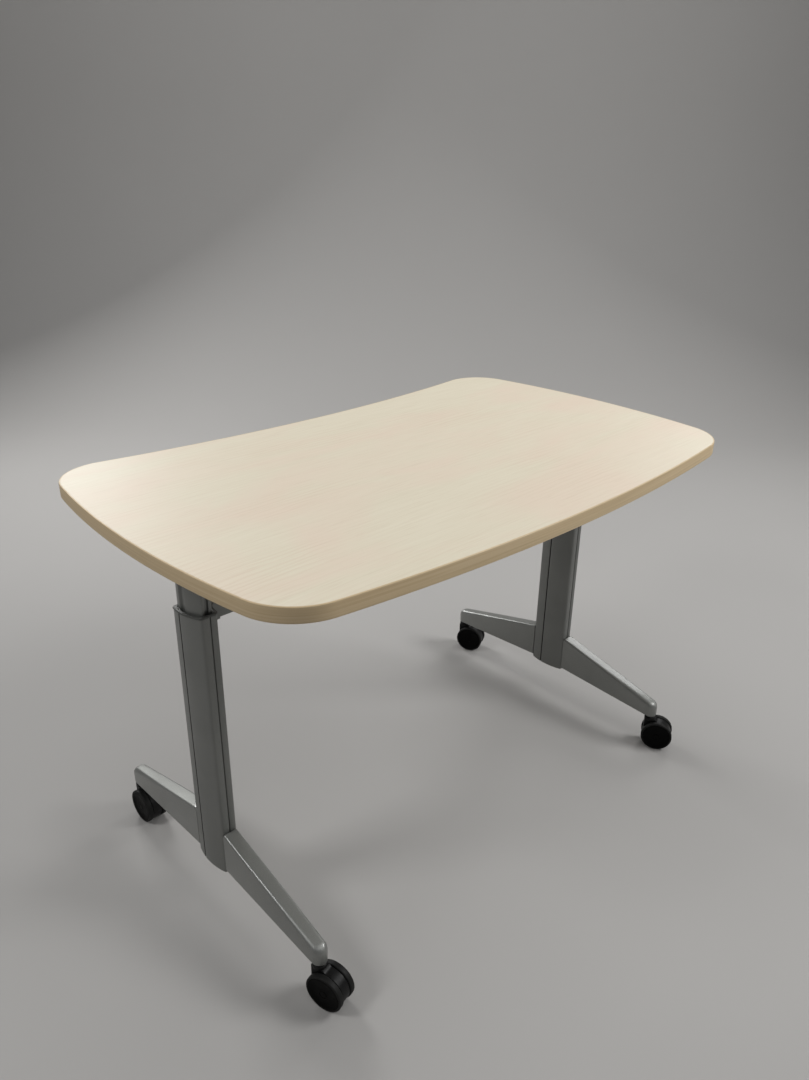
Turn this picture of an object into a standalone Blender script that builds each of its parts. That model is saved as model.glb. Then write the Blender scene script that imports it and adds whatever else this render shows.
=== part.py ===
# Mobile flat desk: a bow-front top on two telescoping legs with tapered feet and twin-wheel casters.
# Units are metres, +Z is up, +X runs along the desk and the bowed working edge faces -Y.
# The floor is z = 0 and the origin lies under the centre of the top.
import bpy
import bmesh
import math
from mathutils import Vector

# Clearance left between pieces that touch, and the extra one left where a piece slides.
GAP = 0.0003
SLIDE_GAP = 0.0004

# Top: overall length, depth between the corner chords, bow of each edge, corner radii and build-up.
TOP_LENGTH = 1.200
TOP_CHORD_DEPTH = 0.7166
FRONT_BOW = 0.0459
BACK_HOLLOW = 0.0519
END_BOW = 0.0389
FRONT_CORNER_R = 0.108
BACK_CORNER_R = 0.090
TOP_THICK = 0.0256
BAND_THICK = 0.0025
BAND_ARRIS = 0.0018
SHEET_THICK = 0.0010

# Casters, from the floor up.
WHEEL_R = 0.036
WHEEL_WIDTH = 0.0110
WHEEL_EDGE_R = 0.0024
WHEEL_DISH = 0.0008
WHEEL_GAP = 0.0006
HOOD_WIDTH = 0.0194
HOOD_STEP = 0.0025
HOOD_FLOOR = 0.0070
TRAIL = 0.020
AXLE_R = 0.0032
AXLE_COVER = 0.0035
BOSS_R = 0.0128
BOSS_HEIGHT = 0.0080
BOSS_ARRIS = 0.0010
PIN_R = 0.0045
PIN_LENGTH = 0.0340
NECK_R = 0.0105
NECK_HEIGHT = 0.0034

# Feet: reach from the column centre, depths at the root and at the tip, rise of the underside, rounding.
ARM_REACH = 0.316
ARM_SHOULDER = 0.0002
ARM_TIP_DEPTH = 0.036
ARM_ROOT_DEPTH = 0.086
ARM_UNDER_RISE = 0.013
ARM_TOP_R = 0.0040
ARM_NOSE_R = 0.0095
ARM_UNDER_R = 0.0020
ARM_ROOT_R = 0.0040
ARM_NOSE_DROP = 0.0120
CASTER_INSET = 0.013

# Legs: distance from the ends of the top, place under it, section of the outer column and its grooves.
LEG_INSET = 0.097
LEG_Y = 0.010
COL_HALF_DEPTH = 0.0455
COL_HALF_END = 0.0145
COL_BOW = 0.0077
COL_CORNER_R = 0.0045
COL_WALL = 0.0035
COL_DROP = 0.005
COL_LENGTH = 0.5265
RIM_SLANT_DEG = 9.0
GROOVE_WIDTH = 0.0026
GROOVE_DEPTH = 0.0021
GROOVE_FACE_Y = 0.0140
GROOVE_END_X = 0.0010

# Collar on the rim, sliding column and its fittings.
LIP_PROUD = 0.0011
LIP_HEIGHT = 0.0036
SLEEVE_WALL = 0.0012
SLEEVE_DROP = 0.034
INNER_SHOWN = 0.1233
INNER_LENGTH = 0.5118
INNER_WALL = 0.0014
FLUTE_FACE_Y = 0.0110
FLUTE_FACE_WIDTH = 0.0190
FLUTE_END_X = -0.0010
FLUTE_END_WIDTH = 0.0075
FLUTE_DEPTH = 0.0036
SHOE_HEIGHT = 0.030
PLUG_HEIGHT = 0.008
PLUG_INSET = 0.001

# Mounting plates under the top.
PLATE_LENGTH = 0.320
PLATE_WIDTH = 0.090
PLATE_CORNER_R = 0.012
PLATE_THICK = 0.005
SCREW_R = 0.0055
SCREW_HEAD = 0.0030
SCREW_INSET = 0.014

# Stretcher between the outer columns and the saddle at each of its ends.
BEAM_HEIGHT = 0.030
BEAM_DEPTH = 0.034
BEAM_CORNER_R = 0.004
BEAM_WALL = 0.002
BEAM_DROP = 0.0190
SADDLE_THICK = 0.013
SADDLE_MARGIN = 0.001

# Way each caster points, in degrees from +X.
CASTER_TURN = {"lf": 285.0, "rf": 300.0, "lr": 272.0, "rr": 296.0}

# Sampling of curves.
SEG_LONG = 22
SEG_END = 14
SEG_CORNER = 9
SEG_FACE = 8
SEG_ROUND = 26
SEG_PIN = 12

# Heights that follow from the sizes above. A wheel stands on a facet of its tread.
AXLE_HEIGHT = WHEEL_R * math.cos(math.pi / SEG_ROUND)
BOSS_FOOT = AXLE_HEIGHT + WHEEL_R + GAP
HOOD_TOP = BOSS_FOOT + BOSS_HEIGHT
NECK_FOOT = HOOD_TOP + GAP
NECK_TOP = NECK_FOOT + NECK_HEIGHT
ARM_UNDER_TIP = NECK_TOP + GAP
ARM_UNDER_ROOT = ARM_UNDER_TIP + ARM_UNDER_RISE
ARM_TOP_TIP = ARM_UNDER_TIP + ARM_TIP_DEPTH
ARM_TOP_ROOT = ARM_UNDER_ROOT + ARM_ROOT_DEPTH
COL_FOOT = ARM_UNDER_ROOT - COL_DROP
RIM_HEIGHT = COL_FOOT + COL_LENGTH
INNER_TOP = RIM_HEIGHT + INNER_SHOWN
INNER_FOOT = INNER_TOP - INNER_LENGTH
PLATE_UNDER = INNER_TOP + GAP
PLATE_TOP = PLATE_UNDER + PLATE_THICK
TOP_UNDER = PLATE_TOP + GAP
TOP_HEIGHT = TOP_UNDER + TOP_THICK
BEAM_UNDER = RIM_HEIGHT - BEAM_DROP
RIM_SLANT = math.radians(RIM_SLANT_DEG)
COL_HALF_BOW = COL_HALF_END + COL_BOW
ARM_HALF_WIDTH = COL_HALF_END - ARM_SHOULDER
ARM_NOSE = ARM_REACH - ARM_HALF_WIDTH
CASTER_REACH = ARM_REACH - CASTER_INSET
LEFT_X = LEG_INSET - TOP_LENGTH / 2.0
RIGHT_X = -LEFT_X

# How far each layer of the leg lies inside the outer face of the column.
SLEEVE_OUT = COL_WALL + GAP
SLEEVE_IN = SLEEVE_OUT + SLEEVE_WALL
INNER_OUT = SLEEVE_IN + SLIDE_GAP
SHOE_OUT = COL_WALL + SLIDE_GAP
SHOE_IN = INNER_OUT - GAP
INNER_HOLLOW = INNER_OUT + FLUTE_DEPTH + INNER_WALL

for old in list(bpy.data.objects):
    bpy.data.objects.remove(old, do_unlink=True)

parts = bpy.data.collections.new("flat_desk")
bpy.context.scene.collection.children.link(parts)
cutters = bpy.data.collections.new("flat_desk_cutters")
bpy.context.scene.collection.children.link(cutters)

# Colour, roughness and metallic value of each finish.
MAPLE = ((0.72, 0.64, 0.51), 0.36, 0.0)
EDGE_TAN = ((0.50, 0.39, 0.23), 0.42, 0.0)
CHIPBOARD = ((0.46, 0.36, 0.24), 0.80, 0.0)
BACKER = ((0.42, 0.39, 0.34), 0.60, 0.0)
SILVER = ((0.23, 0.24, 0.24), 0.38, 0.75)
DARK_STEEL = ((0.06, 0.06, 0.06), 0.50, 0.60)
ZINC = ((0.45, 0.45, 0.45), 0.35, 0.90)
NYLON = ((0.02, 0.02, 0.02), 0.60, 0.0)
BLACK = ((0.012, 0.012, 0.012), 0.48, 0.0)


def material(name, finish):
    color, roughness, metallic = finish
    mat = bpy.data.materials.new(name)
    mat.use_nodes = True
    bsdf = mat.node_tree.nodes["Principled BSDF"]
    bsdf.inputs["Base Color"].default_value = (*color, 1.0)
    bsdf.inputs["Roughness"].default_value = roughness
    bsdf.inputs["Metallic"].default_value = metallic
    mat.diffuse_color = (*color, 1.0)
    return mat


def empty(name, location, turn=0.0, parent=None):
    ob = bpy.data.objects.new(name, None)
    ob.empty_display_size = 0.05
    ob.location = location
    ob.rotation_euler = (0.0, 0.0, turn)
    ob.parent = parent
    parts.objects.link(ob)
    return ob


def piece(name, mesh, finish, parent, location=(0.0, 0.0, 0.0), rotation=(0.0, 0.0, 0.0), smooth=None):
    ob = bpy.data.objects.new(name, mesh)
    ob.location = location
    ob.rotation_euler = rotation
    ob.parent = parent
    mesh.materials.append(material(name, finish))
    if smooth is not None:
        mesh.shade_smooth()
        mesh.set_sharp_from_angle(angle=math.radians(smooth))
    parts.objects.link(ob)
    return ob


def cutter(name, mesh, parent, location=(0.0, 0.0, 0.0), rotation=(0.0, 0.0, 0.0)):
    ob = bpy.data.objects.new(name, mesh)
    ob.location = location
    ob.rotation_euler = rotation
    ob.parent = parent
    ob.hide_render = True
    ob.display_type = 'WIRE'
    cutters.objects.link(ob)
    return ob


def boolean(target, operation, tool):
    mod = target.modifiers.new(tool.name, 'BOOLEAN')
    mod.operation = operation
    mod.solver = 'EXACT'
    mod.object = tool


def extruded(name, outlines, low, high):
    # A 2D curve of closed outlines, the first one solid and the others holes, as a mesh from low to high.
    curve = bpy.data.curves.new(name, 'CURVE')
    curve.dimensions = '2D'
    curve.fill_mode = 'BOTH'
    curve.extrude = (high - low) / 2.0
    for points in outlines:
        spline = curve.splines.new('POLY')
        spline.points.add(len(points) - 1)
        for point, at in zip(spline.points, points):
            point.co = (at[0], at[1], 0.0, 1.0)
        spline.use_cyclic_u = True
    holder = bpy.data.objects.new(name, curve)
    cutters.objects.link(holder)
    bpy.context.view_layer.update()
    evaluated = holder.evaluated_get(bpy.context.evaluated_depsgraph_get())
    mesh = bpy.data.meshes.new_from_object(evaluated)
    bpy.data.objects.remove(holder, do_unlink=True)
    bpy.data.curves.remove(curve)
    mesh.name = name
    bm = bmesh.new()
    bm.from_mesh(mesh)
    bmesh.ops.remove_doubles(bm, verts=bm.verts[:], dist=0.000001)
    bmesh.ops.recalc_face_normals(bm, faces=bm.faces[:])
    bmesh.ops.translate(bm, verts=bm.verts[:], vec=(0.0, 0.0, (low + high) / 2.0))
    bm.to_mesh(mesh)
    bm.free()
    return mesh


def round_bar(name, foot_radius, top_radius, low, high, count):
    # A closed cylinder or cone about Z.
    mesh = bpy.data.meshes.new(name)
    bm = bmesh.new()
    bmesh.ops.create_cone(bm, cap_ends=True, segments=count, radius1=foot_radius, radius2=top_radius,
                          depth=high - low)
    bmesh.ops.translate(bm, verts=bm.verts[:], vec=(0.0, 0.0, (low + high) / 2.0))
    bm.to_mesh(mesh)
    bm.free()
    return mesh


def block(name, size, low, high):
    # A cube stretched to size across and to the given heights.
    mesh = bpy.data.meshes.new(name)
    bm = bmesh.new()
    bmesh.ops.create_cube(bm, size=1.0)
    bmesh.ops.scale(bm, verts=bm.verts[:], vec=(size, size, high - low))
    bmesh.ops.translate(bm, verts=bm.verts[:], vec=(0.0, 0.0, (low + high) / 2.0))
    bm.to_mesh(mesh)
    bm.free()
    return mesh


def turned(ob, count):
    # Spins the profile mesh of an object about its Z axis.
    mod = ob.modifiers.new("turn", 'SCREW')
    mod.axis = 'Z'
    mod.angle = 2.0 * math.pi
    mod.steps = count
    mod.render_steps = count
    mod.use_merge_vertices = True
    mod.merge_threshold = 0.00001


def profile(name, points):
    mesh = bpy.data.meshes.new(name)
    chain = [(i, i + 1) for i in range(len(points) - 1)]
    mesh.from_pydata([(r, 0.0, z) for r, z in points], chain, [])
    return mesh


# Outline of the top. The front and the ends bow out, the back is hollow, and true fillets join them.
def arc_radius(half_chord, bow):
    return (half_chord * half_chord + bow * bow) / (2.0 * bow)


HALF_CHORD = TOP_LENGTH / 2.0 - END_BOW
R_FRONT = arc_radius(HALF_CHORD, FRONT_BOW)
R_BACK = arc_radius(HALF_CHORD, BACK_HOLLOW)
R_END = arc_radius(TOP_CHORD_DEPTH / 2.0, END_BOW)
C_FRONT = Vector((0.0, R_FRONT - FRONT_BOW - TOP_CHORD_DEPTH / 2.0))
C_BACK = Vector((0.0, R_BACK - BACK_HOLLOW + TOP_CHORD_DEPTH / 2.0))
C_END = Vector((TOP_LENGTH / 2.0 - R_END, 0.0))


def meet(centre_a, radius_a, centre_b, radius_b, back):
    # The crossing of two circles that lies at +X, towards the back or towards the front.
    span = centre_b - centre_a
    along = (radius_a ** 2 - radius_b ** 2 + span.length_squared) / (2.0 * span.length)
    across = math.sqrt(radius_a ** 2 - along ** 2)
    unit = span.normalized()
    normal = Vector((-unit.y, unit.x))
    found = [centre_a + unit * along + normal * (across * way) for way in (1.0, -1.0)]
    found = [p for p in found if p.x > 0.0 and (p.y > 0.0) == back]
    return found[0]


def arc(centre, start, stop, count):
    # Points along a circle from start up to, but not including, stop.
    a0 = math.atan2(start.y - centre.y, start.x - centre.x)
    a1 = math.atan2(stop.y - centre.y, stop.x - centre.x)
    turn = (a1 - a0 + math.pi) % (2.0 * math.pi) - math.pi
    radius = (start - centre).length
    steps = [a0 + turn * i / count for i in range(count)]
    return [centre + Vector((math.cos(a), math.sin(a))) * radius for a in steps]


def top_outline(inset):
    # Counter-clockwise outline, moved inwards by inset.
    front_r = FRONT_CORNER_R - inset
    back_r = BACK_CORNER_R - inset
    rf = R_FRONT - inset
    rb = R_BACK + inset
    re = R_END - inset
    near = meet(C_FRONT, rf - front_r, C_END, re - front_r, False)
    far = meet(C_BACK, rb + back_r, C_END, re - back_r, True)
    a = C_FRONT + (near - C_FRONT).normalized() * rf
    b = C_END + (near - C_END).normalized() * re
    c = C_END + (far - C_END).normalized() * re
    d = C_BACK + (far - C_BACK).normalized() * rb
    right = arc(near, a, b, SEG_CORNER) + arc(C_END, b, c, SEG_END) + arc(far, c, d, SEG_CORNER) + [d]
    left = [Vector((-p.x, p.y)) for p in reversed(right)]
    back = arc(C_BACK, d, left[0], SEG_LONG)[1:]
    front = arc(C_FRONT, left[-1], right[0], SEG_LONG)[1:]
    return right + back + left + front


EDGE_Y = [p.y for p in top_outline(0.0)]
SHIFT_Y = -(min(EDGE_Y) + max(EDGE_Y)) / 2.0


def placed_outline(inset):
    return [(p.x, p.y + SHIFT_Y) for p in top_outline(inset)]


# Column section: two bowed wide faces and two flat ends with rounded corners. It repeats after half a turn.
def bow_at(y, half_depth, half_end):
    return half_end + COL_BOW * (1.0 - (y / half_depth) ** 2)


def rounded(start, corner, stop, count):
    steps = [i / count for i in range(count + 1)]
    return [start * (1.0 - t) ** 2 + corner * (2.0 * t * (1.0 - t)) + stop * t ** 2 for t in steps]


def notch(centre, width, depth):
    # Stations across a groove with slightly leaning sides, as positions and depths.
    half = width / 2.0
    floor = half * 0.75
    return [(centre - half, 0.0), (centre - floor, depth), (centre + floor, depth), (centre + half, 0.0)]


def column_section(inside, face_notch=(), end_notch=()):
    # The section moved inwards by inside, with a groove in each wide face and in each end if given.
    half_depth = COL_HALF_DEPTH - inside
    half_end = COL_HALF_END - inside
    reach = max(COL_CORNER_R - inside * 0.5, 0.0010)
    limit = half_depth - reach
    face = [(-limit + 2.0 * limit * i / SEG_FACE, 0.0) for i in range(SEG_FACE + 1)]
    if face_notch:
        low = face_notch[0][0] - 0.001
        high = face_notch[-1][0] + 0.001
        before = [s for s in face if s[0] < low]
        after = [s for s in face if s[0] > high]
        face = before + list(face_notch) + after
    half = [Vector((bow_at(y, half_depth, half_end) - depth, y)) for y, depth in face]
    far = Vector((-bow_at(limit, half_depth, half_end), limit))
    half += rounded(half[-1], Vector((half_end, half_depth)), Vector((half_end - reach, half_depth)), 3)[1:]
    half += [Vector((-x, half_depth - depth)) for x, depth in end_notch]
    half += rounded(Vector((reach - half_end, half_depth)), Vector((-half_end, half_depth)), far, 3)[:-1]
    return half + [-p for p in half]


GROOVES = (notch(-GROOVE_FACE_Y, GROOVE_WIDTH, GROOVE_DEPTH),
           notch(GROOVE_END_X, GROOVE_WIDTH, GROOVE_DEPTH))
FLUTES = (notch(-FLUTE_FACE_Y, FLUTE_FACE_WIDTH, FLUTE_DEPTH),
          notch(FLUTE_END_X, FLUTE_END_WIDTH, FLUTE_DEPTH))


def rounded_rect(width, depth, radius, count):
    points = []
    for sx, sy, start in ((1, -1, -90.0), (1, 1, 0.0), (-1, 1, 90.0), (-1, -1, 180.0)):
        for i in range(count + 1):
            a = math.radians(start + 90.0 * i / count)
            points.append((sx * (width / 2.0 - radius) + radius * math.cos(a),
                           sy * (depth / 2.0 - radius) + radius * math.sin(a)))
    return points


root = empty("flat_desk_root", (0.0, 0.0, 0.0))
base = empty("base", (0.0, LEG_Y, 0.0), parent=root)
top_slide = empty("top_slide", (0.0, LEG_Y, 0.0), parent=root)
on_top = (0.0, -LEG_Y, 0.0)

# Top: an edge band round a core board, with a face sheet and a backing sheet let in flush.
ring = [placed_outline(0.0), placed_outline(BAND_THICK)]
band_mesh = extruded("edge_band", ring, TOP_UNDER, TOP_HEIGHT)
outside = {(round(x, 5), round(y, 5)) for x, y in ring[0]}
weights = band_mesh.attributes.new("bevel_weight_edge", 'FLOAT', 'EDGE')
for edge in band_mesh.edges:
    ends = [band_mesh.vertices[i].co for i in edge.vertices]
    level = abs(ends[0].z - ends[1].z) < 0.00001
    outer_edge = all((round(p.x, 5), round(p.y, 5)) in outside for p in ends)
    weights.data[edge.index].value = 1.0 if level and outer_edge else 0.0
band = piece("edge_band", band_mesh, EDGE_TAN, top_slide, on_top, smooth=35.0)
arris = band.modifiers.new("arris", 'BEVEL')
arris.limit_method = 'WEIGHT'
arris.width = BAND_ARRIS
arris.segments = 3
field = [placed_outline(BAND_THICK + GAP)]
piece("top_laminate", extruded("top_laminate", field, TOP_HEIGHT - SHEET_THICK, TOP_HEIGHT), MAPLE,
      top_slide, on_top)
core_mesh = extruded("core_board", field, TOP_UNDER + SHEET_THICK + GAP, TOP_HEIGHT - SHEET_THICK - GAP)
piece("core_board", core_mesh, CHIPBOARD, top_slide, on_top)
piece("backer_sheet", extruded("backer_sheet", field, TOP_UNDER, TOP_UNDER + SHEET_THICK), BACKER,
      top_slide, on_top)


def arm_section(y, half_width, low, high, radius):
    # Rounded upper corners and a small chamfer below, in the plane across the arm.
    r = min(radius, half_width * 0.96)
    c = min(ARM_UNDER_R, half_width * 0.5)
    points = [(c - half_width, low), (half_width - c, low), (half_width, low + c)]
    for start, cx in ((0.0, half_width - r), (90.0, r - half_width)):
        for i in range(5):
            a = math.radians(start + 22.5 * i)
            points.append((cx + r * math.cos(a), high - r + r * math.sin(a)))
    points.append((-half_width, low + c))
    return [Vector((x, y, z)) for x, z in points]


def arm_mesh(name, way):
    # A loft through unlike sections: deep at the column, where its upper edge is rounded, shallow at the
    # tip and closed by a rounded nose. A station has a reach, a share of the width and a drop of the top.
    start = COL_HALF_DEPTH + GAP
    pad = CASTER_REACH - NECK_R - SLIDE_GAP
    bend = start + ARM_ROOT_R
    stations = []
    for a in (0.0, 30.0, 60.0):
        across = 1.0 - math.cos(math.radians(a))
        down = 1.0 - math.sin(math.radians(a))
        stations.append((start + ARM_ROOT_R * across, 1.0, ARM_ROOT_R * down))
    stations += [(bend + (pad - bend) * i / 3.0, 1.0, 0.0) for i in range(4)]
    if ARM_NOSE > pad + 0.001:
        stations.append((ARM_NOSE, 1.0, 0.0))
    for a in (22.0, 42.0, 60.0, 76.0):
        share = math.cos(math.radians(a))
        reach = ARM_NOSE + ARM_HALF_WIDTH * math.sin(math.radians(a))
        stations.append((reach, share, ARM_NOSE_DROP * (1.0 - share)))
    bm = bmesh.new()
    loops = []
    for reach, share, drop in stations:
        along = (reach - start) / (ARM_NOSE - start)
        high = ARM_TOP_ROOT + (ARM_TOP_TIP - ARM_TOP_ROOT) * along - drop
        low = ARM_UNDER_ROOT - ARM_UNDER_RISE * min((reach - start) / (pad - start), 1.0)
        radius = ARM_TOP_R + (ARM_NOSE_R - ARM_TOP_R) * min(along, 1.0) ** 2
        section = arm_section(way * reach, ARM_HALF_WIDTH * share, low, high, radius)
        loops.append([bm.verts.new(p) for p in section])
    count = len(loops[0])
    for near, far in zip(loops[:-1], loops[1:]):
        for i in range(count):
            j = (i + 1) % count
            bm.faces.new((near[i], near[j], far[j], far[i]))
    bm.faces.new(loops[0])
    bm.faces.new(loops[-1])
    bmesh.ops.recalc_face_normals(bm, faces=bm.faces[:])
    mesh = bpy.data.meshes.new(name)
    bm.to_mesh(mesh)
    bm.free()
    return mesh


SLANT_SIZE = 4.0 * COL_HALF_DEPTH
SPARE = SLANT_SIZE * math.tan(RIM_SLANT)


def slant(name, x, level, up):
    # A block with one flat side on the slanted plane through the given level, reaching up or down from it.
    deep = 4.0 * SPARE + SLEEVE_DROP
    low, high = (0.0, deep) if up else (-deep, 0.0)
    return cutter(name, block(name, SLANT_SIZE, low, high), base, (x, 0.0, level), (-RIM_SLANT, 0.0, 0.0))


def make_leg(tag, x):
    here = (x, 0.0, 0.0)
    # Outer column: a grooved tube whose upper end is cut on a slant.
    name = "outer_column_" + tag
    tube = [column_section(0.0, *GROOVES), column_section(COL_WALL)]
    mesh = extruded(name, tube, COL_FOOT, RIM_HEIGHT + SPARE)
    column = piece(name, mesh, SILVER, base, here, smooth=32.0)
    boolean(column, 'DIFFERENCE', slant("cut_rim_" + tag, x, RIM_HEIGHT, True))

    # Collar: a sleeve inside the tube joined to a thin proud lip that follows the slanted rim.
    lip_foot = RIM_HEIGHT + GAP / math.cos(RIM_SLANT)
    lip_ring = [column_section(-LIP_PROUD), column_section(SLEEVE_OUT + SLEEVE_WALL / 2.0)]
    lip_mesh = extruded("lip_" + tag, lip_ring, RIM_HEIGHT - SPARE, RIM_HEIGHT + SPARE)
    lip = cutter("lip_" + tag, lip_mesh, base, here)
    boolean(lip, 'DIFFERENCE', slant("cut_lip_" + tag, x, lip_foot, False))
    name = "collar_" + tag
    mesh = extruded(name, [column_section(SLEEVE_OUT), column_section(SLEEVE_IN)],
                    RIM_HEIGHT - SLEEVE_DROP, RIM_HEIGHT + 0.9 * SPARE)
    collar = piece(name, mesh, SILVER, base, here, smooth=32.0)
    boolean(collar, 'UNION', lip)
    boolean(collar, 'DIFFERENCE', slant("cut_collar_" + tag, x, lip_foot + LIP_HEIGHT, True))

    # Plug that closes the lower end of the tube.
    name = "end_plug_" + tag
    plug_foot = COL_FOOT + PLUG_INSET
    mesh = extruded(name, [column_section(COL_WALL + GAP)], plug_foot, plug_foot + PLUG_HEIGHT)
    piece(name, mesh, NYLON, base, here)

    # Feet.
    for end, way in (("front", -1.0), ("rear", 1.0)):
        name = "foot_" + end + "_" + tag
        piece(name, arm_mesh(name, way), SILVER, base, here, smooth=40.0)

    # Sliding inner column with its glide shoe, mounting plate and screws.
    name = "inner_column_" + tag
    tube = [column_section(INNER_OUT, *FLUTES), column_section(INNER_HOLLOW)]
    mesh = extruded(name, tube, INNER_FOOT, INNER_TOP)
    piece(name, mesh, SILVER, top_slide, here, smooth=32.0)
    name = "glide_shoe_" + tag
    shoe = [column_section(SHOE_OUT), column_section(SHOE_IN)]
    mesh = extruded(name, shoe, INNER_FOOT, INNER_FOOT + SHOE_HEIGHT)
    piece(name, mesh, NYLON, top_slide, here)
    name = "mount_plate_" + tag
    plate = rounded_rect(PLATE_WIDTH, PLATE_LENGTH, PLATE_CORNER_R, 4)
    mesh = extruded(name, [plate], PLATE_UNDER, PLATE_TOP)
    piece(name, mesh, DARK_STEEL, top_slide, here)
    sx = PLATE_WIDTH / 2.0 - SCREW_INSET
    sy = PLATE_LENGTH / 2.0 - SCREW_INSET
    head_top = PLATE_UNDER - GAP
    for number, (dx, dy) in enumerate(((-sx, -sy), (sx, -sy), (sx, sy), (-sx, sy))):
        name = "plate_screw_" + tag + "_" + str(number + 1)
        mesh = round_bar(name, SCREW_R * 0.7, SCREW_R, head_top - SCREW_HEAD, head_top, SEG_PIN)
        piece(name, mesh, ZINC, top_slide, (x + dx, dy, 0.0))


make_leg("left", LEFT_X)
make_leg("right", RIGHT_X)

# Stretcher: a box tube between two saddles that hug the bowed faces under the collars.
SADDLE_HALF = BEAM_DEPTH / 2.0 + SADDLE_MARGIN
SADDLE_FLAT = COL_HALF_BOW + SADDLE_THICK


def make_saddle(tag, x, way):
    steps = [-SADDLE_HALF + 2.0 * SADDLE_HALF * i / SEG_FACE for i in range(SEG_FACE + 1)]
    hug = [(way * (bow_at(y, COL_HALF_DEPTH, COL_HALF_END) + GAP), y) for y in steps]
    flat = [(way * SADDLE_FLAT, SADDLE_HALF), (way * SADDLE_FLAT, -SADDLE_HALF)]
    name = "beam_saddle_" + tag
    saddle_top = BEAM_UNDER + BEAM_HEIGHT + SADDLE_MARGIN
    mesh = extruded(name, [hug + flat], BEAM_UNDER - SADDLE_MARGIN, saddle_top)
    saddle = piece(name, mesh, SILVER, base, (x, 0.0, 0.0))
    # Room for the collar lip where the saddle stands higher than the rim.
    room_shape = [column_section(-LIP_PROUD - GAP)]
    room_mesh = extruded("room_" + tag, room_shape, RIM_HEIGHT - SPARE, RIM_HEIGHT + SPARE)
    room = cutter("room_" + tag, room_mesh, base, (x, 0.0, 0.0))
    boolean(room, 'DIFFERENCE', slant("cut_room_" + tag, x, RIM_HEIGHT, False))
    boolean(saddle, 'DIFFERENCE', room)


make_saddle("left", LEFT_X, 1.0)
make_saddle("right", RIGHT_X, -1.0)
beam_half = RIGHT_X - SADDLE_FLAT - GAP
beam_shapes = [rounded_rect(BEAM_HEIGHT, BEAM_DEPTH, BEAM_CORNER_R, 3),
               rounded_rect(BEAM_HEIGHT - 2.0 * BEAM_WALL, BEAM_DEPTH - 2.0 * BEAM_WALL,
                            BEAM_CORNER_R - BEAM_WALL * 0.5, 3)]
piece("stretcher", extruded("stretcher", beam_shapes, -beam_half, beam_half), SILVER, base,
      (0.0, 0.0, BEAM_UNDER + BEAM_HEIGHT / 2.0), (0.0, math.radians(90.0), 0.0), smooth=40.0)


# Casters: a neck pin in the foot, a swivelling hood with its axle, and two wheels that turn on the axle.
HOOD_R = WHEEL_R - HOOD_STEP
HOOD_HALF = HOOD_WIDTH / 2.0
WHEEL_IN = HOOD_HALF + WHEEL_GAP
WHEEL_OUT = WHEEL_IN + WHEEL_WIDTH
AXLE_HALF = WHEEL_OUT - AXLE_COVER


def hood_outline():
    # A drum about the axle, flat underneath, run up into the swivel boss. X is the trail and Y the height.
    inner_x = -BOSS_R * 0.95
    back = math.acos(max((inner_x - TRAIL) / HOOD_R, -0.999))
    flat = math.acos((AXLE_HEIGHT - HOOD_FLOOR) / HOOD_R)
    bottom = math.radians(270.0)
    front = math.radians(455.0)
    angles = [back + (bottom - flat - back) * i / 6.0 for i in range(7)]
    angles += [bottom + flat + (front - bottom - flat) * i / 12.0 for i in range(13)]
    points = [(TRAIL + HOOD_R * math.cos(a), AXLE_HEIGHT + HOOD_R * math.sin(a)) for a in angles]
    points.append((-inner_x, BOSS_FOOT + BOSS_HEIGHT * 0.3))
    points.append((inner_x, BOSS_FOOT + BOSS_HEIGHT * 0.3))
    return points


def wheel_profile():
    # From the middle of the outer face, over the tread, to the blind bore. Height zero is the inner face.
    e = WHEEL_EDGE_R
    bore = AXLE_R + GAP
    bore_end = AXLE_HALF - WHEEL_IN + GAP
    face = [(0.0, WHEEL_WIDTH - WHEEL_DISH), (WHEEL_R * 0.77, WHEEL_WIDTH - WHEEL_DISH),
            (WHEEL_R * 0.80, WHEEL_WIDTH), (WHEEL_R - e, WHEEL_WIDTH)]
    tread = [(WHEEL_R - e * 0.3, WHEEL_WIDTH - e * 0.3), (WHEEL_R, WHEEL_WIDTH - e), (WHEEL_R, e),
             (WHEEL_R - e * 0.3, e * 0.3), (WHEEL_R - e, 0.0)]
    return face + tread + [(bore, 0.0), (bore, bore_end), (0.0, bore_end)]


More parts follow.
